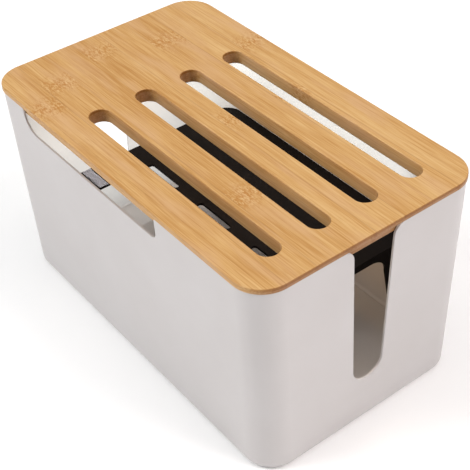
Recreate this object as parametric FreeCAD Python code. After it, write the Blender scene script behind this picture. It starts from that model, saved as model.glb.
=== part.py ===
import FreeCAD, Part
import math
import os

os.makedirs("parts", exist_ok=True)

# Router storage box: a moulded box on four pads, a bamboo lid with four long slots,
# and a shelf inside that carries the router above the power strip.
# Millimetres. X runs along the box, Y across it with the front wall at -Y, Z up.
# The origin is the middle of the footprint, on the surface that the pads stand on.

# Whole object
box_length = 310.0
box_width = 183.0
overall_height = 169.0
corner_radius = 22.0
cut_overrun = 5.0
flatness = 0.001

# Box shell: walls that narrow towards the base
wall = 1.8
floor_thickness = 2.6
end_taper = 2.5
side_taper = 4.4
base_rounding = 4.3
floor_fillet = 3.0

# Cable slot in each end wall
cable_slot_bottom_radius = 12.9
cable_slot_bottom_height = 41.2
cable_slot_lean = 2.2
cable_slot_flare = 9.0

# Hand and cable cut-out in the rim of the front wall
cutout_width = 163.5
cutout_left_margin = 44.5
cutout_depth = 18.0
cutout_corner_radius = 13.0
cutout_flare = 2.5

# Anti-slip pads in round seats under the box
pad_radius = 7.0
pad_thickness = 1.8
pad_seat_depth = 0.8
pad_seat_gap = 0.2
pad_edge_bevel = 0.5
pad_inset = 26.0

# Bamboo lid: a board that lies on the rim, with a step that drops inside it
lid_rim_thickness = 4.5
lid_overhang = 0.7
lid_step_depth = 6.3
lid_step_gap = 0.5
lid_edge_rounding = 0.9
lid_step_chamfer = 0.8
lid_slot_count = 4
lid_slot_length = 199.4
lid_slot_width = 16.4
lid_slot_pitch = 38.8
lid_slot_right_margin = 23.6
lid_slot_edge_ease = 0.5

# Inner shelf: a deck with a short skirt and four corner legs, one moulding
shelf_length = 216.0
shelf_height = 91.0
shelf_wall = 2.2
shelf_side_gap = 0.5
shelf_foot_gap = 0.3
shelf_corner_radius = 14.0
shelf_edge_bevel = 0.5
shelf_skirt_depth = 6.3
leg_width = 28.0
leg_arch_radius = 10.5
leg_arch_lean = 10.5
rib_thickness = 1.5
rib_setback = 0.6

# Openings in the deck
deck_margin = 26.0
cable_opening_width = 18.0
rear_opening_count = 4
rear_opening_length = 31.5
rear_opening_bridge = 16.5
rear_opening_radius = 7.0
vent_length = 36.5
vent_width = 4.8
vent_column_pitch = 63.0
vent_columns = 3
vent_rows = 4
vent_margin = 10.5

# Sizes that follow from the ones above
half_length = box_length / 2
half_width = box_width / 2
rim_height = overall_height - lid_rim_thickness
base_height = pad_thickness - pad_seat_depth
floor_height = base_height + floor_thickness
shell_height = rim_height - base_height
shelf_half_length = shelf_length / 2


def vector(x, y, z):
    return FreeCAD.Vector(x, y, z)


def taper_at(height, taper):
    """How far a tapered wall has drawn in from its place at the rim."""
    return taper * (rim_height - height) / shell_height


def inner_half_width(height):
    """Half of the free width between the front and rear walls."""
    return half_width - taper_at(height, side_taper) - wall


def shelf_half_width():
    """Half of the deck's width, which just clears the walls at its own height."""
    return inner_half_width(shelf_height) - shelf_side_gap


def arc_edge(centre_x, centre_y, radius, start, end, place):
    """An arc in a 2D sketch, drawn from start to end degrees; place puts a 2D point in space."""
    points = []
    for angle in (start, (start + end) / 2, end):
        turn = math.radians(angle)
        points.append(place(centre_x + radius * math.cos(turn), centre_y + radius * math.sin(turn)))
    return Part.Arc(*points).toShape()


def rounded_outline(reach_x, reach_y, radius, height, centre_x=0, centre_y=0):
    """A rounded rectangle, or a slot with full round ends, lying flat at a height."""
    def place(x, y):
        return vector(centre_x + x, centre_y + y, height)

    straight_x = reach_x - radius
    straight_y = reach_y - radius
    edges = []
    for start, sign_x, sign_y in ((0, 1, 1), (90, -1, 1), (180, -1, -1), (270, 1, -1)):
        edges.append(arc_edge(sign_x * straight_x, sign_y * straight_y, radius, start, start + 90, place))
    corners = [edge.valueAt(edge.LastParameter) for edge in edges]
    starts = [edge.valueAt(edge.FirstParameter) for edge in edges]
    for index, corner in enumerate(corners):
        following = starts[(index + 1) % len(starts)]
        if (following - corner).Length > Part.Precision.confusion():
            edges.append(Part.makeLine(corner, following))
    return Part.Wire(Part.__sortEdges__(edges))


def edges_at(shape, height):
    """The edges that lie flat at a height."""
    found = []
    for edge in shape.Edges:
        box = edge.BoundBox
        if abs(box.ZMin - height) < flatness and box.ZLength < flatness:
            found.append(edge)
    return found


def upright_edges(shape):
    """The edges that don't lie flat."""
    return [edge for edge in shape.Edges if edge.BoundBox.ZLength > flatness]


def tapered_block(low, low_reach, high, high_reach, corner):
    """A solid from one height to another with four flat drafted walls and round corners."""
    low_x, low_y = low_reach
    high_x, high_y = high_reach
    wedge = Part.makeWedge(-low_x, low, -low_y, -high_y, -high_x, low_x, high, low_y, high_y, high_x)
    block = wedge.rotated(vector(0, 0, 0), vector(1, 0, 0), 90)
    return block.makeFillet(corner, upright_edges(block))


def flat_prism(outline, height):
    return Part.Face(outline).extrude(vector(0, 0, height))


def notch_face(reach, radius, lean, closed_height, open_height):
    """An upright notch in the XZ plane, open at one end, which may be above or below.

    The closed end has round corners and the sides lean outwards towards the open end.
    """
    upwards = 1 if open_height > closed_height else -1

    def place(across, along):
        return vector(across, 0, closed_height + upwards * along)

    angle = math.radians(lean)
    top = abs(open_height - closed_height) + cut_overrun
    corner_across = reach - radius
    side_across = corner_across + radius * math.cos(angle)
    side_along = radius - radius * math.sin(angle)
    top_across = side_across + (top - side_along) * math.tan(angle)

    edges = [arc_edge(corner_across, radius, radius, -90, -lean, place)]
    edges.append(Part.makeLine(place(side_across, side_along), place(top_across, top)))
    mirrored = [edge.mirror(vector(0, 0, 0), vector(1, 0, 0)) for edge in edges]
    edges.extend(mirrored)
    edges.append(Part.makeLine(place(top_across, top), place(-top_across, top)))
    if corner_across > Part.Precision.confusion():
        edges.append(Part.makeLine(place(corner_across, 0), place(-corner_across, 0)))
    return Part.Face(Part.Wire(Part.__sortEdges__(edges)))


def through_front_and_rear(face, start, end, centre_x=0):
    """Push an XZ face through the part along Y, from start to end."""
    moved = face.translated(vector(centre_x, start, 0))
    return moved.extrude(vector(0, end - start, 0))


def through_ends(face, start, end):
    """Turn an XZ face to face along X and push it through the part from start to end."""
    turned = face.rotated(vector(0, 0, 0), vector(0, 0, 1), 90)
    return turned.translated(vector(start, 0, 0)).extrude(vector(end - start, 0, 0))


def row_of(count, pitch):
    """Places along a row, centred on zero."""
    return [(number - (count - 1) / 2) * pitch for number in range(count)]


def shell_reach(height, inset):
    """Half the length and half the width of the box's outer wall at a height, less an inset."""
    reach_x = half_length - taper_at(height, end_taper) - inset
    reach_y = half_width - taper_at(height, side_taper) - inset
    return reach_x, reach_y


def pad_places():
    """The pads stand the same distance in from both walls at each corner of the base."""
    reach_x = half_length - end_taper - pad_inset
    reach_y = half_width - side_taper - pad_inset
    return {
        "base_pad_front_left": (-reach_x, -reach_y),
        "base_pad_front_right": (reach_x, -reach_y),
        "base_pad_rear_left": (-reach_x, reach_y),
        "base_pad_rear_right": (reach_x, reach_y),
    }


def notch_corners(shell):
    """The short edges across the rim beside the notches: in the end walls, and in the front."""
    in_ends = []
    in_front = []
    for edge in edges_at(shell, rim_height):
        if edge.Length < 2 * wall:
            on_end_wall = abs(edge.CenterOfMass.x) > half_length - 2 * wall
            (in_ends if on_end_wall else in_front).append(edge)
    return in_ends, in_front


def make_box_shell():
    """Tapered moulding, open at the top, with a slot in each end and a cut-out in front."""
    outside = tapered_block(
        base_height,
        shell_reach(base_height, 0),
        rim_height,
        shell_reach(rim_height, 0),
        corner_radius,
    )
    outside = outside.makeFillet(base_rounding, edges_at(outside, base_height))
    above_rim = rim_height + cut_overrun
    inside = tapered_block(
        floor_height,
        shell_reach(floor_height, wall),
        above_rim,
        shell_reach(above_rim, wall),
        corner_radius - wall,
    )
    inside = inside.makeFillet(floor_fillet, edges_at(inside, floor_height))
    shell = outside.cut(inside)

    cable_slot = notch_face(
        cable_slot_bottom_radius,
        cable_slot_bottom_radius,
        cable_slot_lean,
        cable_slot_bottom_height,
        rim_height,
    )
    outer_end = half_length + cut_overrun
    shell = shell.cut(through_ends(cable_slot, -outer_end, outer_end))

    cutout = notch_face(cutout_width / 2, cutout_corner_radius, 0, rim_height - cutout_depth, rim_height)
    cutout_centre = -half_length + cutout_left_margin + cutout_width / 2
    shell = shell.cut(through_front_and_rear(cutout, -half_width - cut_overrun, 0, cutout_centre))

    slot_corners, cutout_corners = notch_corners(shell)
    shell = shell.makeFillet(cable_slot_flare, slot_corners)
    slot_corners, cutout_corners = notch_corners(shell)
    shell = shell.makeFillet(cutout_flare, cutout_corners)

    for x, y in pad_places().values():
        seat = Part.makeCylinder(pad_radius + pad_seat_gap, pad_seat_depth + cut_overrun)
        seat.translate(vector(x, y, base_height - cut_overrun))
        shell = shell.cut(seat)
    return shell


def make_base_pad(x, y):
    """A soft disc with a bevelled lower edge, glued up into its seat."""
    pad = Part.makeCylinder(pad_radius, pad_thickness)
    pad = pad.makeChamfer(pad_edge_bevel, edges_at(pad, 0))
    pad.translate(vector(x, y, 0))
    return pad


def lid_slot_cutter(y):
    """One long slot with round ends, its upper edge eased by a small slope."""
    underside = rim_height - lid_step_depth
    centre_x = half_length + lid_overhang - lid_slot_right_margin - lid_slot_length / 2
    reach_x = lid_slot_length / 2
    reach_y = lid_slot_width / 2
    lowest = rounded_outline(reach_x, reach_y, reach_y, underside - cut_overrun, centre_x, y)
    cutter = flat_prism(lowest, overall_height - underside + 2 * cut_overrun)
    ease = lid_slot_edge_ease
    lower = rounded_outline(reach_x, reach_y, reach_y, overall_height - ease, centre_x, y)
    wide = ease + cut_overrun
    upper = rounded_outline(
        reach_x + wide, reach_y + wide, reach_y + wide, overall_height + cut_overrun, centre_x, y
    )
    return cutter.fuse(Part.makeLoft([lower, upper], True, True))


def make_bamboo_lid():
    """A solid board, rebated all round, with a row of long slots side by side."""
    rim_outline = rounded_outline(
        half_length + lid_overhang, half_width + lid_overhang, corner_radius + lid_overhang, rim_height
    )
    board = flat_prism(rim_outline, lid_rim_thickness)
    board = board.makeFillet(lid_edge_rounding, edges_at(board, overall_height))

    inset = wall + lid_step_gap
    underside = rim_height - lid_step_depth
    step_outline = rounded_outline(
        half_length - inset, half_width - inset, corner_radius - inset, underside
    )
    step = flat_prism(step_outline, lid_step_depth)
    step = step.makeChamfer(lid_step_chamfer, edges_at(step, underside))
    board = board.fuse(step).removeSplitter()

    for y in row_of(lid_slot_count, lid_slot_pitch):
        board = board.cut(lid_slot_cutter(y))
    return board


def shelf_reach(height, inset):
    """Half the length and width of the shelf: its legs lean in to clear the floor's fillet."""
    foot_half_width = inner_half_width(floor_height) - floor_fillet - shelf_foot_gap
    whole_lean = shelf_half_width() - foot_half_width
    lean_in = whole_lean * (shelf_height - height) / (shelf_height - floor_height)
    return shelf_half_length - lean_in - inset, shelf_half_width() - lean_in - inset


def inner_opening_edge():
    """How far from the middle of the deck the large openings begin."""
    return shelf_half_width() - deck_margin - cable_opening_width


def vent_row_pitch():
    """The rows of vents share the band between the large openings, less a margin."""
    outer_row = inner_opening_edge() - vent_margin - vent_width / 2
    return 2 * outer_row / (vent_rows - 1)


def deck_opening(reach_x, reach_y, radius, x, y):
    """A cutter for one opening in the deck."""
    below = shelf_height - shelf_skirt_depth
    outline = rounded_outline(reach_x, reach_y, radius, below, x, y)
    return flat_prism(outline, shelf_skirt_depth + cut_overrun)


def deck_openings():
    """One long cable opening in front, a row of openings behind and rows of vents between."""
    half_opening = cable_opening_width / 2
    opening_y = inner_opening_edge() + half_opening
    long_reach = shelf_half_length - deck_margin
    cutters = [deck_opening(long_reach, half_opening, half_opening, 0, -opening_y)]
    for x in row_of(rear_opening_count, rear_opening_length + rear_opening_bridge):
        cutters.append(
            deck_opening(rear_opening_length / 2, half_opening, rear_opening_radius, x, opening_y)
        )
    for x in row_of(vent_columns, vent_column_pitch):
        for y in row_of(vent_rows, vent_row_pitch()):
            cutters.append(deck_opening(vent_length / 2, vent_width / 2, vent_width / 2, x, y))
    return cutters


def deck_ribs():
    """Ribs under the deck, a little shallower than the skirt: two long ones, short ones between."""
    low = shelf_height - shelf_skirt_depth + rib_setback
    rib_height = shelf_height - shelf_wall / 2 - low
    rib_length = shelf_length - shelf_wall
    rib_y = inner_opening_edge() - vent_margin / 2
    ribs = []
    for y in (-rib_y, rib_y):
        rib = Part.makeBox(rib_length, rib_thickness, rib_height)
        rib.translate(vector(-rib_length / 2, y - rib_thickness / 2, low))
        ribs.append(rib)
    for x in row_of(vent_columns - 1, vent_column_pitch):
        rib = Part.makeBox(rib_thickness, 2 * rib_y, rib_height)
        rib.translate(vector(x - rib_thickness / 2, -rib_y, low))
        ribs.append(rib)
    return ribs


def make_inner_shelf():
    """A deck on four L-shaped corner legs, with an arched opening on every side."""
    outside = tapered_block(
        floor_height,
        shelf_reach(floor_height, 0),
        shelf_height,
        shelf_reach(shelf_height, 0),
        shelf_corner_radius,
    )
    outside = outside.makeChamfer(shelf_edge_bevel, edges_at(outside, shelf_height))
    below_feet = floor_height - cut_overrun
    underside = shelf_height - shelf_wall
    inside = tapered_block(
        below_feet,
        shelf_reach(below_feet, shelf_wall),
        underside,
        shelf_reach(underside, shelf_wall),
        shelf_corner_radius - shelf_wall,
    )
    shelf = outside.cut(inside)
    shelf = shelf.fuse(deck_ribs()).removeSplitter()

    arch_top = shelf_height - shelf_skirt_depth
    end_arch = notch_face(
        shelf_half_width() - leg_width, leg_arch_radius, leg_arch_lean, arch_top, floor_height
    )
    shelf = shelf.cut(through_ends(end_arch, -shelf_length, shelf_length))
    side_arch = notch_face(
        shelf_half_length - leg_width, leg_arch_radius, leg_arch_lean, arch_top, floor_height
    )
    shelf = shelf.cut(through_front_and_rear(side_arch, -box_width, box_width))

    for cutter in deck_openings():
        shelf = shelf.cut(cutter)
    return shelf


def save(shape, name):
    solids = shape.Solids
    print(name, len(solids), "solid", round(shape.Volume, 1), "mm3, valid", shape.isValid())
    whole = solids[0] if len(solids) == 1 else shape
    whole.exportStep("parts/" + name + ".step")


save(make_box_shell(), "box_shell")
save(make_bamboo_lid(), "bamboo_lid")
save(make_inner_shelf(), "inner_shelf")
for pad_name, (pad_x, pad_y) in pad_places().items():
    save(make_base_pad(pad_x, pad_y), pad_name)
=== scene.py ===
import math
import bpy
from mathutils import Matrix, Vector


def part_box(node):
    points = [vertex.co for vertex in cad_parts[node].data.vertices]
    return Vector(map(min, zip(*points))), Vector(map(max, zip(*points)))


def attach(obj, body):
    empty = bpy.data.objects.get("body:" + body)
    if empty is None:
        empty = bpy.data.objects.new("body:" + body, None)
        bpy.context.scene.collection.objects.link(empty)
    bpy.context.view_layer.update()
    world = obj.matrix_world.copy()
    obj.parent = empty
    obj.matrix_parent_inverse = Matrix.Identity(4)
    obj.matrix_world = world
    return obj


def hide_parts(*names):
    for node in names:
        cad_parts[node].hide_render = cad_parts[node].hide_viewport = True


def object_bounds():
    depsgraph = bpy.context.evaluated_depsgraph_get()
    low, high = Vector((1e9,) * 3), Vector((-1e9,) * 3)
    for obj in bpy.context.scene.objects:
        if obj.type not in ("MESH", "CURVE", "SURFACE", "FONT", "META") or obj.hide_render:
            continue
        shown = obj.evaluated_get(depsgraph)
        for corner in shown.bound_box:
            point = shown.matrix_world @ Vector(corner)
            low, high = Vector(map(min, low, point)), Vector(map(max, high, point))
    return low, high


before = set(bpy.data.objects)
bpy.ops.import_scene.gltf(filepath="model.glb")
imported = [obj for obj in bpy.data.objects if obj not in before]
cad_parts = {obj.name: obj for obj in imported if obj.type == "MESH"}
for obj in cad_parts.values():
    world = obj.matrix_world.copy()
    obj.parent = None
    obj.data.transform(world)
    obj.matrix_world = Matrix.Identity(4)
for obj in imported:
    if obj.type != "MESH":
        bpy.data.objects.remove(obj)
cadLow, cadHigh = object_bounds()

# router storage box: white moulded box on pads, bamboo lid with four slots, black shelf inside
# metres, X along the box, front wall at -Y, Z up

roundOff = 1e-5  # how close a point lies to count as being there
strayReach = 1e-4  # points nearer to each other than this are one point
flatDegrees = 0.2  # faces that meet more flatly than this are one face
sharpDegrees = 38  # an edge that turns more than this is a sharp one
uprightSlope = 3  # rise over run from which an edge counts as upright
levelShare = 0.99  # how much of a level face's normal points straight up or down
bigFaceWeight = 80  # how strongly big faces set the shading beside a soft edge


# picking and shaping by hand

def makeActive(piece):
    bpy.ops.object.select_all(action="DESELECT")
    piece.select_set(True)
    bpy.context.view_layer.objects.active = piece


def editPiece(piece):
    makeActive(piece)
    bpy.ops.object.mode_set(mode="EDIT")


def leaveEdit():
    bpy.ops.object.mode_set(mode="OBJECT")


def pickAll(piece):
    editPiece(piece)
    bpy.ops.mesh.select_all(action="SELECT")


def pick(piece, kind, wanted):  # ends in edit mode with what is wanted selected
    editPiece(piece)
    bpy.ops.mesh.select_mode(type=kind)
    bpy.ops.mesh.select_all(action="DESELECT")
    leaveEdit()
    mesh = piece.data
    if kind == "VERT":
        for vertex in mesh.vertices:
            vertex.select = wanted(vertex.co)
    elif kind == "EDGE":
        for edge in mesh.edges:
            start, end = (mesh.vertices[index].co for index in edge.vertices)
            edge.select = wanted(start, end)
    else:
        for face in mesh.polygons:
            face.select = wanted(face.center, face.normal)
    bpy.ops.object.mode_set(mode="EDIT")


def addBlock(name, low, high):
    low = Vector(low)
    high = Vector(high)
    bpy.ops.object.select_all(action="DESELECT")
    bpy.ops.mesh.primitive_cube_add(size=1, location=(low + high) / 2)
    block = bpy.context.object
    block.name = name
    block.data.name = name
    block.scale = high - low
    bpy.ops.object.transform_apply(location=True, rotation=True, scale=True)
    return block


def isUpright(start, end):  # corners that lean with the draft count too
    return abs(start.z - end.z) > uprightSlope * (abs(start.x - end.x) + abs(start.y - end.y))


def facesUp(centre, normal):
    return normal.z > levelShare


def facesDown(centre, normal):
    return normal.z < -levelShare


def liesAt(height):
    return lambda start, end: abs(start.z - height) < roundOff and abs(end.z - height) < roundOff


def liesAlongX(height):
    return lambda start, end: liesAt(height)(start, end) and abs(start.y - end.y) < roundOff


def liesAlongY(height):
    return lambda start, end: liesAt(height)(start, end) and abs(start.x - end.x) < roundOff


def bevelPicked(width, steps):
    bpy.ops.mesh.bevel(
        offset=width, offset_type="OFFSET", segments=steps, affect="EDGES", clamp_overlap=False,
    )
    leaveEdit()


def resizeAt(piece, height, shareX, shareY):  # draws the points at a height in or out
    pick(piece, "VERT", lambda point: abs(point.z - height) < roundOff)
    bpy.ops.transform.resize(value=(shareX, shareY, 1), center_override=(0, 0, height))
    leaveEdit()


def applyModifier(piece, kind, **settings):
    makeActive(piece)
    modifier = piece.modifiers.new(kind.lower(), kind)
    for name, value in settings.items():
        setattr(modifier, name, value)
    bpy.ops.object.modifier_apply(modifier=modifier.name)


def combine(piece, other, operation):
    applyModifier(piece, "BOOLEAN", operation=operation, object=other, solver="EXACT")
    bpy.data.objects.remove(other, do_unlink=True)


def cutAway(piece, cutter):
    combine(piece, cutter, "DIFFERENCE")


def joinOn(piece, added):
    combine(piece, added, "UNION")


def copyPiece(piece, name, move):  # a copy with its own mesh
    twin = piece.copy()
    twin.data = piece.data.copy()
    twin.name = name
    twin.data.name = name
    twin.data.transform(Matrix.Translation(move))
    bpy.context.scene.collection.objects.link(twin)
    return twin


def smoothShading(piece):
    makeActive(piece)
    bpy.ops.object.shade_smooth_by_angle(angle=math.radians(sharpDegrees))


def softenEdges(piece, width, steps):
    pickAll(piece)  # stray points that the cuts leave would fold the soft edge over
    bpy.ops.mesh.remove_doubles(threshold=strayReach)
    bpy.ops.mesh.dissolve_limited(angle_limit=math.radians(flatDegrees))
    leaveEdit()
    applyModifier(
        piece, "BEVEL", width=width, segments=steps, limit_method="ANGLE",
        angle_limit=math.radians(sharpDegrees), use_clamp_overlap=False, miter_outer="MITER_ARC",
    )
    pickAll(piece)
    bpy.ops.mesh.remove_doubles(threshold=roundOff)
    leaveEdit()
    smoothShading(piece)
    applyModifier(piece, "WEIGHTED_NORMAL", keep_sharp=True, weight=bigFaceWeight)


def rowOf(count, pitch):  # places in an even row about the middle
    return [(number - (count - 1) / 2) * pitch for number in range(count)]


def directionTo(turnDegrees, heightDegrees):  # turn from the front, height angle
    turn = math.radians(turnDegrees)
    height = math.radians(heightDegrees)
    return Vector((math.sin(turn) * math.cos(height), -math.cos(turn) * math.cos(height), math.sin(height)))


# camera at the photo's angle

camera = {
    "azimuth": 54.326,
    "elevation": 40.030,
    "roll": -3.245,
    "place": (0.5288, -0.3719, 0.6097),
    "lens": 87.57,
    "sensor": 36,
    "clipStart": 0.01,
    "clipEnd": 20,
}


def buildCamera():
    azimuth = math.radians(camera["azimuth"])
    roll = math.radians(camera["roll"])
    back = directionTo(camera["azimuth"], camera["elevation"])
    right = Vector((math.cos(azimuth), math.sin(azimuth), 0))
    up = back.cross(right)
    turnedRight = math.cos(roll) * right + math.sin(roll) * up
    turnedUp = math.cos(roll) * up - math.sin(roll) * right
    data = bpy.data.cameras.new("photoCamera")
    data.lens = camera["lens"]
    data.sensor_width = camera["sensor"]
    data.clip_start = camera["clipStart"]
    data.clip_end = camera["clipEnd"]
    photoCamera = bpy.data.objects.new("photoCamera", data)
    bpy.context.scene.collection.objects.link(photoCamera)
    axes = Matrix((turnedRight, turnedUp, back)).transposed().to_4x4()
    photoCamera.matrix_world = Matrix.Translation(camera["place"]) @ axes
    bpy.context.scene.camera = photoCamera


buildCamera()
print("camera set")


# materials

def newMaterial(name):
    material = bpy.data.materials.new(name)
    material.use_nodes = True
    tree = material.node_tree
    return material, tree, tree.nodes["Principled BSDF"]


def feed(tree, socket, value):  # a link where the value comes from another node
    if isinstance(value, bpy.types.NodeSocket):
        tree.links.new(value, socket)
    else:
        socket.default_value = value


def addNode(tree, kind, inputs=None, **settings):
    node = tree.nodes.new(kind)
    for name, value in settings.items():
        setattr(node, name, value)
    for name, value in (inputs or {}).items():
        feed(tree, node.inputs[name], value)
    return node


def objectCoords(tree):
    return addNode(tree, "ShaderNodeTexCoord").outputs["Object"]


def mathNode(tree, operation, *values):
    node = tree.nodes.new("ShaderNodeMath")
    node.operation = operation
    for index, value in enumerate(values):
        feed(tree, node.inputs[index], value)
    return node.outputs[0]


def addUp(tree, *parts):  # each part is a value and its share
    total = 0.0
    for value, share in parts:
        total = mathNode(tree, "MULTIPLY_ADD", value, share, total)
    return total


def mixColours(tree, share, first, second, blend="MIX"):
    node = tree.nodes.new("ShaderNodeMix")
    node.data_type = "RGBA"
    node.blend_type = blend
    feed(tree, node.inputs[0], share)
    for index, colour in ((6, first), (7, second)):  # the two colours among the node's inputs
        feed(tree, node.inputs[index], (*colour, 1) if isinstance(colour, tuple) else colour)
    return node.outputs[2]


def stretchedNoise(tree, coords, scale, detail=2.0, roughness=0.55, distortion=0.0):
    mapped = addNode(tree, "ShaderNodeMapping", {"Vector": coords, "Scale": scale})
    noise = addNode(tree, "ShaderNodeTexNoise", {
        "Vector": mapped.outputs["Vector"], "Scale": 1.0, "Detail": detail,
        "Roughness": roughness, "Distortion": distortion,
    })
    return noise.outputs["Fac"]


def evenNoise(tree, coords, scale, detail=2.0, roughness=0.55):
    return stretchedNoise(tree, coords, (scale, scale, scale), detail, roughness)


def swing(tree, coords, scale, size, detail=2.0):  # noise to both sides of zero
    noise = stretchedNoise(tree, coords, scale, detail)
    return mathNode(tree, "MULTIPLY", mathNode(tree, "SUBTRACT", noise, 0.5), size)


def ramp(tree, value, stops, interpolation="LINEAR"):
    node = tree.nodes.new("ShaderNodeValToRGB")
    node.color_ramp.interpolation = interpolation
    tree.links.new(value, node.inputs["Fac"])
    elements = node.color_ramp.elements
    while len(elements) < len(stops):
        elements.new(0.5)
    for element, (place, colour) in zip(elements, stops):
        element.position = place
        element.color = (*colour, 1)
    return node.outputs["Color"]


def rangeOf(tree, value, fromLow, fromHigh, toLow=0.0, toHigh=1.0):
    node = addNode(tree, "ShaderNodeMapRange", {
        "Value": value, "From Min": fromLow, "From Max": fromHigh, "To Min": toLow, "To Max": toHigh,
    })
    return node.outputs["Result"]


def giveRoughness(tree, shader, patches, middle, spread):
    roughness = mathNode(tree, "MULTIPLY_ADD", patches, spread, middle - spread / 2)
    tree.links.new(roughness, shader.inputs["Roughness"])


def giveBump(tree, shader, height, strength, depth):
    bump = addNode(tree, "ShaderNodeBump", {"Height": height, "Strength": strength, "Distance": depth})
    tree.links.new(bump.outputs["Normal"], shader.inputs["Normal"])


bamboo = {
    "stripWidth": 0.0234,
    "stripShift": 0.613,  # how far along the cane the next strip's grain starts
    "stripTone": 0.07,
    "pale": (0.650, 0.412, 0.176),
    "middle": (0.572, 0.328, 0.119),
    "dark": (0.460, 0.228, 0.063),
    "toneStops": (0.37, 0.50, 0.62),
    "blush": (0.596, 0.360, 0.177),
    "vessel": (0.400, 0.185, 0.048),
    # streaks: waves to the metre along, across and down, octaves, roughness
    "broadStreak": ((5, 90, 90), 2.0, 0.5),
    "fineStreak": ((7, 430, 430), 2.0, 0.55),
    "fibre": ((30, 1200, 1200), 2.0, 0.6),
    "toneShares": (0.26, 0.24, 0.50),
    # marks over the streaks: as above, then where they start and are full, most share, colour
    "marks": (
        ((14, 70, 70), 2.0, 0.55, 0.48, 0.68, 0.70, "blush"),
        ((16, 640, 640), 1.0, 0.5, 0.58, 0.70, 0.30, "vessel"),
        ((70, 1700, 1700), 1.0, 0.5, 0.60, 0.74, 0.36, "vessel"),
    ),
    # where each strip has its knuckle, from the front strip to the rear one
    "knucklePlaces": (-0.092, -0.113, 0.077, -0.132, 0.004, -0.112, 0.007, -0.068),
    "knuckleLength": 0.011,
    "knuckleWarmth": 0.25,
    # how densely and how far a knuckle's outline and the grain stray
    "knuckleWander": ((60, 160, 160), 0.016),
    "knuckleSwerve": ((150, 260, 260), 0.0045),
    "grainDrift": ((9, 40, 40), 0.004, 1.0),
    "speck": (0.430, 0.185, 0.040),
    "fleck": (0.730, 0.500, 0.250),
    "speckNoise": ((360, 820, 820), 2.0, 0.6, 0.6),  # as a streak, then distortion
    "speckRange": (0.51, 0.60, 0.0, 0.85),
    "fleckRange": (0.39, 0.46, 0.5, 0.0),
    "seam": (0.300, 0.145, 0.050),
    "seamWidthShare": 0.022,  # of a strip's width
    "seamBreakScale": (14, 30, 30),
    "seamStrength": (0.35, 0.65, 0.15, 0.60),
    "endGrain": (0.60, 0.52, 0.44),
    # painted shade along the upper band of the board's end edges
    "edgeTopPaintedShade": (0.82, 0.66, 0.42),
    "edgeLower": (1.0, 1.0, 1.25),
    "edgeSplit": 0.0022,  # how far the painted shade under the top edge reaches down the board's edge
    "edgeBlend": 0.0002,
    # painted light at the top of the slots' long walls and painted shade at their foot
    "slotWallPaintedLight": (1.22, 1.21, 1.30),
    "slotWallPaintedShade": (0.79, 0.83, 0.87),
    "edgeMargin": 0.010,  # side faces nearer the outline than this are the board's own edge
    # how squarely a face looks along the cane, and across it, before and when its tint is full
    "endTurn": (0.35, 1.0),
    "sideTurn": (0.5, 0.9),
    "roughness": 0.46,
    "roughnessSpread": 0.16,
    "bumpShares": (0.6, 0.4, -0.5),  # fine streak, fibre, seam
    "bump": 0.22,
    "bumpDepth": 0.0003,
    "shine": 0.35,
}


def findKnuckles(tree, coords, alongX, stripIndex):  # 1 at a strip's knuckle, fading to 0 beside it
    places = bamboo["knucklePlaces"]
    count = len(places)
    stops = []
    for number, place in enumerate(places):
        shade = place + 0.5  # a colour can't be below 0
        stops.append((number / count, (shade, shade, shade)))
    share = mathNode(tree, "DIVIDE", mathNode(tree, "ADD", stripIndex, (count + 1) / 2), count)
    shades = ramp(tree, share, stops, "CONSTANT")
    placeShade = addNode(tree, "ShaderNodeSeparateColor", {"Color": shades}).outputs[0]
    knuckleX = mathNode(tree, "SUBTRACT", placeShade, 0.5)
    fromKnuckle = mathNode(tree, "SUBTRACT", alongX, knuckleX)
    wander = swing(tree, coords, *bamboo["knuckleWander"])
    fromKnuckle = mathNode(tree, "ADD", fromKnuckle, wander)
    inLengths = mathNode(tree, "DIVIDE", fromKnuckle, bamboo["knuckleLength"])
    square = mathNode(tree, "MULTIPLY", inLengths, inLengths)
    return mathNode(tree, "EXPONENT", mathNode(tree, "MULTIPLY", square, -1.0))


def layGrain(tree, coords, split, stripIndex, knuckle):  # the grain swerves at a knuckle
    shiftX = mathNode(tree, "MULTIPLY", stripIndex, bamboo["stripShift"])
    grainX = mathNode(tree, "ADD", split["X"], shiftX)
    swerve = swing(tree, coords, *bamboo["knuckleSwerve"])
    swerve = mathNode(tree, "MULTIPLY", swerve, knuckle)
    drift = swing(tree, coords, *bamboo["grainDrift"])
    grainY = mathNode(tree, "ADD", mathNode(tree, "ADD", split["Y"], swerve), drift)
    grain = addNode(tree, "ShaderNodeCombineXYZ", {"X": grainX, "Y": grainY, "Z": split["Z"]})
    return grain.outputs["Vector"]


def addKnuckleSpecks(tree, coords, colour, knuckle):  # warmer, with dark specks and pale flecks
    speck = stretchedNoise(tree, coords, *bamboo["speckNoise"])
    speckShare = mathNode(tree, "MULTIPLY", rangeOf(tree, speck, *bamboo["speckRange"]), knuckle)
    fleckShare = mathNode(tree, "MULTIPLY", rangeOf(tree, speck, *bamboo["fleckRange"]), knuckle)
    warmShare = mathNode(tree, "MULTIPLY", knuckle, bamboo["knuckleWarmth"])
    colour = mixColours(tree, warmShare, colour, bamboo["dark"])
    colour = mixColours(tree, fleckShare, colour, bamboo["fleck"])
    return mixColours(tree, speckShare, colour, bamboo["speck"])


def findSeams(tree, coords, inStrips):  # glue lines between the strips, stronger here and there
    toSeam = mathNode(tree, "PINGPONG", inStrips, 0.5)
    onSeam = rangeOf(tree, toSeam, 0.0, bamboo["seamWidthShare"], 1.0, 0.0)
    patches = stretchedNoise(tree, coords, bamboo["seamBreakScale"])
    strength = rangeOf(tree, patches, *bamboo["seamStrength"])
    return mathNode(tree, "MULTIPLY", onSeam, strength)


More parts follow.
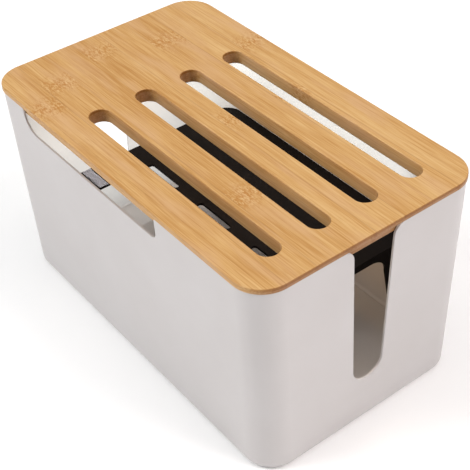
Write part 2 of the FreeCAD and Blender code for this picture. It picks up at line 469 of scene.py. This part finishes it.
def tintCutFaces(tree, colour, split):
    normals = addNode(tree, "ShaderNodeTexCoord").outputs["Normal"]
    normal = addNode(tree, "ShaderNodeSeparateXYZ", {"Vector": normals}).outputs

    # end grain drinks more oil and is darker; the upper band of the end edges is darkened further as painted
    # shade under the top edge, and the lower band is tinted greyer
    endShare = rangeOf(tree, mathNode(tree, "ABSOLUTE", normal["X"]), *bamboo["endTurn"])
    colour = mixColours(tree, endShare, colour, bamboo["endGrain"], "MULTIPLY")
    splitHeight = cadHigh.z - bamboo["edgeSplit"]
    blend = bamboo["edgeBlend"]
    paintedShadeShare = rangeOf(tree, split["Z"], splitHeight - blend, splitHeight + blend)
    edgeShadeTint = mixColours(tree, paintedShadeShare, bamboo["edgeLower"], bamboo["edgeTopPaintedShade"])
    colour = mixColours(tree, endShare, colour, edgeShadeTint, "MULTIPLY")

    # painted light and shade: the slots' long walls are made paler at the top and darker towards the foot,
    # as if lit from above
    slotShare = rangeOf(tree, mathNode(tree, "ABSOLUTE", normal["Y"]), *bamboo["sideTurn"])
    fromMiddle = mathNode(tree, "ABSOLUTE", split["Y"])
    insideOutline = mathNode(tree, "LESS_THAN", fromMiddle, cadHigh.y - bamboo["edgeMargin"])
    slotShare = mathNode(tree, "MULTIPLY", slotShare, insideOutline)
    lidLow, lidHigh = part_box("bamboo_lid")
    towardsTop = rangeOf(tree, split["Z"], lidLow.z, lidHigh.z)
    paintedWallLightShade = mixColours(tree, towardsTop, bamboo["slotWallPaintedShade"], bamboo["slotWallPaintedLight"])
    return mixColours(tree, slotShare, colour, paintedWallLightShade, "MULTIPLY")


def makeBamboo():
    material, tree, shader = newMaterial("bambooBoard")
    coords = objectCoords(tree)
    split = addNode(tree, "ShaderNodeSeparateXYZ", {"Vector": coords}).outputs

    # glued strips, each of its own tone
    inStrips = mathNode(tree, "DIVIDE", split["Y"], bamboo["stripWidth"])
    stripIndex = mathNode(tree, "FLOOR", inStrips)
    chance = addNode(tree, "ShaderNodeTexWhiteNoise", {"W": stripIndex}, noise_dimensions="1D")
    stripTone = mathNode(tree, "SUBTRACT", chance.outputs["Value"], 0.5)
    knuckle = findKnuckles(tree, coords, split["X"], stripIndex)
    grain = layGrain(tree, coords, split, stripIndex, knuckle)

    # streaks of three widths
    widths = ("broadStreak", "fineStreak", "fibre")
    streaks = [stretchedNoise(tree, grain, *bamboo[width]) for width in widths]
    tone = addUp(tree, *zip(streaks, bamboo["toneShares"]), (stripTone, bamboo["stripTone"]))
    shades = (bamboo["dark"], bamboo["middle"], bamboo["pale"])
    colour = ramp(tree, tone, tuple(zip(bamboo["toneStops"], shades)))
    for scale, octaves, rough, start, full, most, name in bamboo["marks"]:
        mark = stretchedNoise(tree, grain, scale, octaves, rough)
        colour = mixColours(tree, rangeOf(tree, mark, start, full, 0.0, most), colour, bamboo[name])

    colour = addKnuckleSpecks(tree, coords, colour, knuckle)
    seamShare = findSeams(tree, coords, inStrips)
    colour = mixColours(tree, seamShare, colour, bamboo["seam"])
    colour = tintCutFaces(tree, colour, split)
    tree.links.new(colour, shader.inputs["Base Color"])

    fine, fibre = streaks[1:]
    giveRoughness(tree, shader, fine, bamboo["roughness"], bamboo["roughnessSpread"])
    height = addUp(tree, *zip((fine, fibre, seamShare), bamboo["bumpShares"]))
    giveBump(tree, shader, height, bamboo["bump"], bamboo["bumpDepth"])
    shader.inputs["Specular IOR Level"].default_value = bamboo["shine"]
    return material


whitePlastic = {
    "colour": (0.588, 0.562, 0.557),
    "shade": (0.568, 0.540, 0.533),
    "cloudScale": 14,
    "cloudRange": (0.35, 0.65),
    "grainScale": 1900,
    "waveScale": 22,
    "waveShare": 1.4,
    "roughness": 0.44,
    "roughnessSpread": 0.12,
    "bump": 0.10,
    "bumpDepth": 0.0002,
    "ior": 1.49,
}


def makeWhitePlastic():
    material, tree, shader = newMaterial("whitePlastic")
    coords = objectCoords(tree)
    cloud = evenNoise(tree, coords, whitePlastic["cloudScale"], 3.0)
    cloudShare = rangeOf(tree, cloud, *whitePlastic["cloudRange"])
    colour = mixColours(tree, cloudShare, whitePlastic["colour"], whitePlastic["shade"])
    tree.links.new(colour, shader.inputs["Base Color"])
    grain = evenNoise(tree, coords, whitePlastic["grainScale"])
    waves = evenNoise(tree, coords, whitePlastic["waveScale"], 1.0)
    height = mathNode(tree, "MULTIPLY_ADD", waves, whitePlastic["waveShare"], grain)
    giveBump(tree, shader, height, whitePlastic["bump"], whitePlastic["bumpDepth"])
    giveRoughness(tree, shader, grain, whitePlastic["roughness"], whitePlastic["roughnessSpread"])
    shader.inputs["IOR"].default_value = whitePlastic["ior"]
    return material


blackPlastic = {
    "colour": (0.0044, 0.0032, 0.0030),
    "rubbed": (0.0070, 0.0052, 0.0049),
    "cloudScale": 30,
    "cloudRange": (0.4, 0.7),
    "grainScale": 1400,
    "roughness": 0.49,
    "roughnessSpread": 0.18,
    "bump": 0.25,
    "bumpDepth": 0.0002,
    "shine": 0.07,
}


def makeBlackPlastic():
    material, tree, shader = newMaterial("blackPlastic")
    coords = objectCoords(tree)
    cloud = evenNoise(tree, coords, blackPlastic["cloudScale"], 4.0, 0.6)
    rubbedShare = rangeOf(tree, cloud, *blackPlastic["cloudRange"])
    colour = mixColours(tree, rubbedShare, blackPlastic["colour"], blackPlastic["rubbed"])
    tree.links.new(colour, shader.inputs["Base Color"])
    grain = evenNoise(tree, coords, blackPlastic["grainScale"])
    giveBump(tree, shader, grain, blackPlastic["bump"], blackPlastic["bumpDepth"])
    giveRoughness(tree, shader, cloud, blackPlastic["roughness"], blackPlastic["roughnessSpread"])
    shader.inputs["Specular IOR Level"].default_value = blackPlastic["shine"]
    return material


padRubber = {
    "colour": (0.62, 0.61, 0.59),
    "dusty": (0.50, 0.49, 0.47),
    "dustScale": 260,
    "dustRange": (0.42, 0.66),
    "roughness": 0.7,
    "bump": 0.3,
    "bumpDepth": 0.0002,
}


def makePadRubber():
    material, tree, shader = newMaterial("padRubber")
    dust = evenNoise(tree, objectCoords(tree), padRubber["dustScale"], 4.0, 0.65)
    dustShare = rangeOf(tree, dust, *padRubber["dustRange"])
    colour = mixColours(tree, dustShare, padRubber["colour"], padRubber["dusty"])
    tree.links.new(colour, shader.inputs["Base Color"])
    giveBump(tree, shader, dust, padRubber["bump"], padRubber["bumpDepth"])
    shader.inputs["Roughness"].default_value = padRubber["roughness"]
    return material


def dress(piece, material):
    piece.data.materials.clear()
    piece.data.materials.append(material)


bambooBoard = makeBamboo()
whiteMoulding = makeWhitePlastic()
blackMoulding = makeBlackPlastic()
greyRubber = makePadRubber()
print("materials made")


# bamboo lid: board on the rim, step that drops inside it, four long slots

lid = {
    "cornerRadius": 0.0227,
    "cornerSteps": 18,
    "rimThickness": 0.0045,
    "stepInset": 0.0030,
    "slotLength": 0.1994,
    "slotWidth": 0.0164,
    "slotPitch": 0.0388,
    "slotRightMargin": 0.0236,
    "slotCount": 4,
    "slotEndSteps": 14,
    "softness": 0.0008,
    "softSteps": 3,
}


def buildLid():
    low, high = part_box("bamboo_lid")
    rimUnderside = high.z - lid["rimThickness"]
    board = addBlock("bambooLid", (low.x, low.y, rimUnderside), high)
    pick(board, "EDGE", isUpright)
    bevelPicked(lid["cornerRadius"], lid["cornerSteps"])
    pick(board, "FACE", facesDown)
    bpy.ops.mesh.inset(thickness=lid["stepInset"])
    bpy.ops.mesh.extrude_region_move(TRANSFORM_OT_translate={"value": (0, 0, low.z - rimUnderside)})
    leaveEdit()

    reach = lid["slotWidth"] / 2
    right = high.x - lid["slotRightMargin"]
    left = right - lid["slotLength"]
    spare = lid["slotWidth"]
    for y in rowOf(lid["slotCount"], lid["slotPitch"]):
        cutter = addBlock("slotCutter", (left, y - reach, low.z - spare), (right, y + reach, high.z + spare))
        pick(cutter, "EDGE", isUpright)
        bevelPicked(reach - roundOff, lid["slotEndSteps"])
        cutAway(board, cutter)
    softenEdges(board, lid["softness"], lid["softSteps"])
    dress(board, bambooBoard)
    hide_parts("bamboo_lid")
    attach(board, "lid")


buildLid()
print("bamboo lid built")


# box: drafted moulding, open on top, cable slot in each end, cut-out in the front rim

box = {
    "wall": 0.0018,
    "floor": 0.0026,
    "endTaper": 0.0025,
    "sideTaper": 0.0044,
    "cornerRadius": 0.022,
    "cornerSteps": 16,
    "baseRounding": 0.0043,
    "baseSteps": 6,
    "slotRadius": 0.0129,
    "slotSteps": 14,
    "slotBottom": 0.0412,
    "slotTopReach": 0.0173,
    "slotFlare": 0.0088,
    "slotFlareSteps": 8,
    "slotZone": 0.03,  # the slots lie within this from the middle of the end walls
    "cutoutLeft": -0.1105,
    "cutoutRight": 0.0520,
    "cutoutBottom": 0.1456,
    "cutoutCorner": 0.013,
    "cutoutRightCorner": 0.006,
    "cutoutSteps": 12,
    "cutoutFlare": 0.0024,
    "cutoutFlareSteps": 5,
    "softness": 0.00045,
    "softSteps": 3,
}


def isLowerEdge(x, height):  # a lower edge of the block that cuts the front wall
    return lambda start, end: liesAlongY(height)(start, end) and abs(start.x - x) < roundOff


def isAcrossRim(start, end, height):  # the short edges across the wall, beside a notch
    if not liesAt(height)(start, end):
        return False
    isShort = (start - end).length < 1.5 * box["wall"]
    inFront = start.y < 0 and abs(start.x - end.x) < roundOff
    inEnds = abs(start.y) < box["slotZone"] and abs(start.y - end.y) < roundOff
    return isShort and (inFront or inEnds)


def buildBox():
    low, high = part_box("box_shell")
    shell = addBlock("boxShell", low, high)
    resizeAt(shell, low.z, 1 - box["endTaper"] / high.x, 1 - box["sideTaper"] / high.y)
    pick(shell, "EDGE", isUpright)
    bevelPicked(box["cornerRadius"], box["cornerSteps"])
    pick(shell, "EDGE", liesAt(low.z))
    bevelPicked(box["baseRounding"], box["baseSteps"])
    pick(shell, "FACE", facesUp)
    bpy.ops.mesh.delete(type="FACE")
    leaveEdit()
    applyModifier(shell, "SOLIDIFY", thickness=box["wall"], offset=-1, use_even_offset=True)
    innerFloor = low.z + box["wall"]
    pick(shell, "VERT", lambda point: abs(point.z - innerFloor) < roundOff)
    bpy.ops.transform.translate(value=(0, 0, box["floor"] - box["wall"]))
    leaveEdit()
    rimSpread = box["wall"] / 4  # the walls lean, so the rim isn't level yet
    pick(shell, "VERT", lambda point: abs(point.z - high.z) < rimSpread)
    bpy.ops.transform.resize(value=(1, 1, 0), center_override=(0, 0, high.z))
    leaveEdit()

    # cable slots, cut through both ends at once
    beyond = 2 * high.x
    radius = box["slotRadius"]
    top = high.z + radius
    cutter = addBlock("cableSlotCutter", (-beyond, -radius, box["slotBottom"]), (beyond, radius, top))
    pick(cutter, "EDGE", liesAlongX(box["slotBottom"]))
    bevelPicked(radius - roundOff, box["slotSteps"])
    resizeAt(cutter, top, 1, box["slotTopReach"] / radius)
    cutAway(shell, cutter)

    # long cut-out in the front wall, down from the rim
    cutter = addBlock(
        "cutoutCutter",
        (box["cutoutLeft"], -beyond, box["cutoutBottom"]),
        (box["cutoutRight"], -high.y / 2, top),
    )
    for end, radius in (("cutoutLeft", box["cutoutCorner"]), ("cutoutRight", box["cutoutRightCorner"])):
        pick(cutter, "EDGE", isLowerEdge(box[end], box["cutoutBottom"]))
        bevelPicked(radius, box["cutoutSteps"])
    cutAway(shell, cutter)

    # the rim turns down into the notches with a round corner
    nearEnd = high.x - 2 * box["wall"]
    pick(shell, "EDGE", lambda start, end: isAcrossRim(start, end, high.z) and abs(start.x) > nearEnd)
    bevelPicked(box["slotFlare"], box["slotFlareSteps"])
    pick(shell, "EDGE", lambda start, end: isAcrossRim(start, end, high.z) and abs(start.x) < nearEnd)
    bevelPicked(box["cutoutFlare"], box["cutoutFlareSteps"])

    softenEdges(shell, box["softness"], box["softSteps"])
    dress(shell, whiteMoulding)
    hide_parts("box_shell")
    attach(shell, "box")


buildBox()
print("box built")


# shelf: vented deck on four tapered corner legs

shelf = {
    "wall": 0.0022,
    "cornerRadius": 0.014,
    "cornerSteps": 12,
    "edgeBevel": 0.0003,
    "edgeSteps": 2,
    "lean": 0.00515,
    "skirt": 0.0063,
    "legWidth": 0.028,
    "archRadius": 0.0155,
    "archSteps": 10,
    "archLeanDegrees": 10.5,
    "archCutterReach": 0.2,  # past the outer walls to both sides
    "ribThickness": 0.0015,
    "ribSetback": 0.0006,
    "ventMargin": 0.0105,
    "deckMargin": 0.026,
    "openingWidth": 0.018,
    "openingSteps": 8,
    "rearOpenings": 4,
    "rearLength": 0.0315,
    "rearBridge": 0.0165,
    "rearRadius": 0.007,
    "frontRadius": 0.003,
    "ventLength": 0.0365,
    "ventWidth": 0.0048,
    "ventColumnPitch": 0.063,
    "ventColumns": 3,
    "ventRows": 4,
    "softness": 0.0002,
    "softSteps": 2,
}


def cutDeck(piece, x, y, reachX, reachY, radius, low, high):
    cutter = addBlock("deckCutter", (x - reachX, y - reachY, low), (x + reachX, y + reachY, high))
    pick(cutter, "EDGE", isUpright)
    bevelPicked(radius - roundOff, shelf["openingSteps"])
    cutAway(piece, cutter)


def archCutter(reach, alongX, footHeight, top):
    beyond = shelf["archCutterReach"]
    low = footHeight - shelf["skirt"]
    widened = reach + (top - low) * math.tan(math.radians(shelf["archLeanDegrees"]))
    if alongX:
        cutter = addBlock("archCutter", (-beyond, -reach, low), (beyond, reach, top))
        pick(cutter, "EDGE", liesAlongX(top))
    else:
        cutter = addBlock("archCutter", (-reach, -beyond, low), (reach, beyond, top))
        pick(cutter, "EDGE", liesAlongY(top))
    bevelPicked(shelf["archRadius"], shelf["archSteps"])
    if alongX:
        resizeAt(cutter, low, 1, widened / reach)
    else:
        resizeAt(cutter, low, widened / reach, 1)
    return cutter


def buildShelf():
    low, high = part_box("inner_shelf")
    deck = addBlock("innerShelf", low, high)
    lean = shelf["lean"]
    resizeAt(deck, low.z, 1 - lean / high.x, 1 - lean / high.y)
    pick(deck, "EDGE", isUpright)
    bevelPicked(shelf["cornerRadius"], shelf["cornerSteps"])
    pick(deck, "FACE", facesDown)
    bpy.ops.mesh.delete(type="FACE")
    leaveEdit()
    applyModifier(deck, "SOLIDIFY", thickness=shelf["wall"], offset=-1, use_even_offset=True)
    pick(deck, "EDGE", liesAt(high.z))
    bevelPicked(shelf["edgeBevel"], shelf["edgeSteps"])

    # ribs under the deck, a little shallower than the skirt
    archTop = high.z - shelf["skirt"]
    ribLow = archTop + shelf["ribSetback"]
    ribHigh = high.z - shelf["wall"] / 2
    ribReach = high.x - shelf["wall"] / 2
    halfRib = shelf["ribThickness"] / 2
    openingEdge = high.y - shelf["deckMargin"] - shelf["openingWidth"]
    ribY = openingEdge - shelf["ventMargin"] / 2
    for y in (-ribY, ribY):
        rib = addBlock("rib", (-ribReach, y - halfRib, ribLow), (ribReach, y + halfRib, ribHigh))
        joinOn(deck, rib)
    stagger = shelf["ribSetback"] / 4  # keeps the short ribs' faces off the long ribs' faces
    shortLow = ribLow + stagger
    shortHigh = ribHigh - stagger
    for x in rowOf(shelf["ventColumns"] - 1, shelf["ventColumnPitch"]):
        rib = addBlock("rib", (x - halfRib, -ribY, shortLow), (x + halfRib, ribY, shortHigh))
        joinOn(deck, rib)

    cutAway(deck, archCutter(high.y - shelf["legWidth"], True, low.z, archTop))
    cutAway(deck, archCutter(high.x - shelf["legWidth"], False, low.z, archTop))

    # front cable opening, rear openings and vents
    above = high.z + shelf["skirt"]
    halfOpening = shelf["openingWidth"] / 2
    openingY = openingEdge + halfOpening
    longReach = high.x - shelf["deckMargin"]
    cutDeck(deck, 0, -openingY, longReach, halfOpening, shelf["frontRadius"], ribLow, above)
    for x in rowOf(shelf["rearOpenings"], shelf["rearLength"] + shelf["rearBridge"]):
        cutDeck(deck, x, openingY, shelf["rearLength"] / 2, halfOpening, shelf["rearRadius"], ribLow, above)
    halfVent = shelf["ventWidth"] / 2
    outerRow = openingEdge - shelf["ventMargin"] - halfVent
    for x in rowOf(shelf["ventColumns"], shelf["ventColumnPitch"]):
        for y in rowOf(shelf["ventRows"], 2 * outerRow / (shelf["ventRows"] - 1)):
            cutDeck(deck, x, y, shelf["ventLength"] / 2, halfVent, halfVent, ribLow, above)

    softenEdges(deck, shelf["softness"], shelf["softSteps"])
    dress(deck, blackMoulding)
    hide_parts("inner_shelf")
    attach(deck, "shelf")


buildShelf()
print("shelf built")


# pads: soft discs with a shallow dish underneath

pad = {"sides": 48, "edge": 0.0005, "edgeSteps": 3, "rim": 0.0018, "dish": 0.0003}


def buildPads():
    names = [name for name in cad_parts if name.startswith("base_pad")]
    firstLow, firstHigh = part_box(names[0])
    centre = (firstLow + firstHigh) / 2
    bpy.ops.object.select_all(action="DESELECT")
    bpy.ops.mesh.primitive_cylinder_add(
        vertices=pad["sides"], radius=(firstHigh.x - firstLow.x) / 2, depth=firstHigh.z - firstLow.z,
        location=centre,
    )
    first = bpy.context.object
    bpy.ops.object.transform_apply(location=True, rotation=True, scale=True)
    pick(first, "EDGE", liesAt(firstLow.z))
    bevelPicked(pad["edge"], pad["edgeSteps"])
    pick(first, "FACE", facesDown)
    bpy.ops.mesh.inset(thickness=pad["rim"])
    bpy.ops.mesh.inset(thickness=pad["dish"])
    bpy.ops.transform.translate(value=(0, 0, pad["dish"]))
    leaveEdit()
    smoothShading(first)
    dress(first, greyRubber)
    for name in names:
        low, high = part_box(name)
        disc = copyPiece(first, name.replace("base_pad", "pad"), (low + high) / 2 - centre)
        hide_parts(name)
        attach(disc, "box")
    bpy.data.objects.remove(first, do_unlink=True)


buildPads()
print("pads built")


# plain floor and soft studio light

studio = {
    "floorReach": 6.0,
    "floorColour": (0.97, 0.97, 0.97),
    "floorRoughness": 0.9,
    "floorGlow": 0.05,
    "skyStrength": 0.305,
    # name: turn from the front in degrees, height angle, distance, size, power, tint
    "lights": {
        "overheadLight": (0, 90, 4.0, 3.0, 45, (1, 1, 1)),
        "frontLight": (-30, 45, 4.0, 2.0, 81, (1, 1, 1)),
        "endLight": (120, 45, 4.0, 2.0, 84, (1, 0.918, 0.896)),
    },
    # light that the white walls throw about inside the box, and a gleam on the deck
    # name: place, the way it faces, width, height, spread in degrees, power, tint
    "insideLights": {
        "underLidLight": ((0, 0, 0.154), (0, 0, -1), 0.26, 0.08, 180, 0.20, (1, 0.87, 0.72)),
        "leftBayLight": ((-0.118, 0, 0.074), (-1, 0, 0), 0.165, 0.142, 120, 0.070, (0.93, 1, 1)),
        "rearWallLight": ((-0.005, 0.070, 0.136), (0, 1, 0), 0.21, 0.032, 110, 0.0255, (0.90, 1, 1)),
        "cornerLight": ((-0.120, 0.068, 0.100), (0, 1, 0), 0.055, 0.07, 180, 0.0115, (0.9, 1, 1)),
        "underShelfLight": ((0.07, 0.06, 0.045), (0, 1, 0), 0.08, 0.06, 180, 0.0034, (1, 0.58, 0.2)),
        "slotFloorLight": ((0.125, 0.015, 0.050), (0, 0, -1), 0.04, 0.05, 180, 0.0030, (1, 0.97, 0.92)),
        "deckGleam": ((-0.0951, -0.0512, 0.096), (0, 0, -1), 0.0258, 0.0074, 8, 0.060, (0.7, 0.9, 1)),
    },
}


def addLight(name, shape, size, power, tint, place):
    data = bpy.data.lights.new(name, "AREA")
    data.shape = shape
    data.size = size
    data.energy = power
    data.color = tint
    lamp = bpy.data.objects.new(name, data)
    bpy.context.scene.collection.objects.link(lamp)
    lamp.location = place
    return lamp


def addSoftLight(name, turn, height, distance, size, power, tint):  # aimed at the box's middle
    back = directionTo(turn, height)
    middle = Vector((0, 0, cadHigh.z / 2))
    lamp = addLight(name, "DISK", size, power, tint, middle + distance * back)
    lamp.rotation_euler = back.to_track_quat("Z", "Y").to_euler()


def addInsideLight(name, place, facing, width, height, spread, power, tint):
    lamp = addLight(name, "RECTANGLE", width, power, tint, place)
    lamp.data.size_y = height
    lamp.data.spread = math.radians(spread)
    lamp.rotation_euler = Vector(facing).to_track_quat("-Z", "Y").to_euler()
    lamp.visible_camera = False
    lamp.visible_glossy = False


def buildStudio():
    bpy.ops.object.select_all(action="DESELECT")
    bpy.ops.mesh.primitive_plane_add(size=2 * studio["floorReach"])
    floor = bpy.context.object
    floor.name = "studioFloor"
    material, tree, shader = newMaterial("studioFloor")
    shader.inputs["Base Color"].default_value = (*studio["floorColour"], 1)
    shader.inputs["Roughness"].default_value = studio["floorRoughness"]
    shader.inputs["Emission Color"].default_value = (1, 1, 1, 1)
    shader.inputs["Emission Strength"].default_value = studio["floorGlow"]
    dress(floor, material)
    world = bpy.data.worlds.new("studioWorld")
    world.use_nodes = True
    tree = world.node_tree
    sky = tree.nodes["Background"]
    sky.inputs["Color"].default_value = (1, 1, 1, 1)
    sky.inputs["Strength"].default_value = studio["skyStrength"]
    # the camera sees plain white behind the object
    seen = addNode(tree, "ShaderNodeBackground", {"Color": (1, 1, 1, 1), "Strength": 1.0})
    path = tree.nodes.new("ShaderNodeLightPath")
    mixed = tree.nodes.new("ShaderNodeMixShader")
    tree.links.new(path.outputs["Is Camera Ray"], mixed.inputs[0])
    tree.links.new(sky.outputs[0], mixed.inputs[1])
    tree.links.new(seen.outputs[0], mixed.inputs[2])
    tree.links.new(mixed.outputs[0], tree.nodes["World Output"].inputs["Surface"])
    bpy.context.scene.world = world
    for name, light in studio["lights"].items():
        addSoftLight(name, *light)
    for name, light in studio["insideLights"].items():
        addInsideLight(name, *light)
    bpy.context.scene.view_settings.view_transform = "Standard"


buildStudio()
print("studio set")
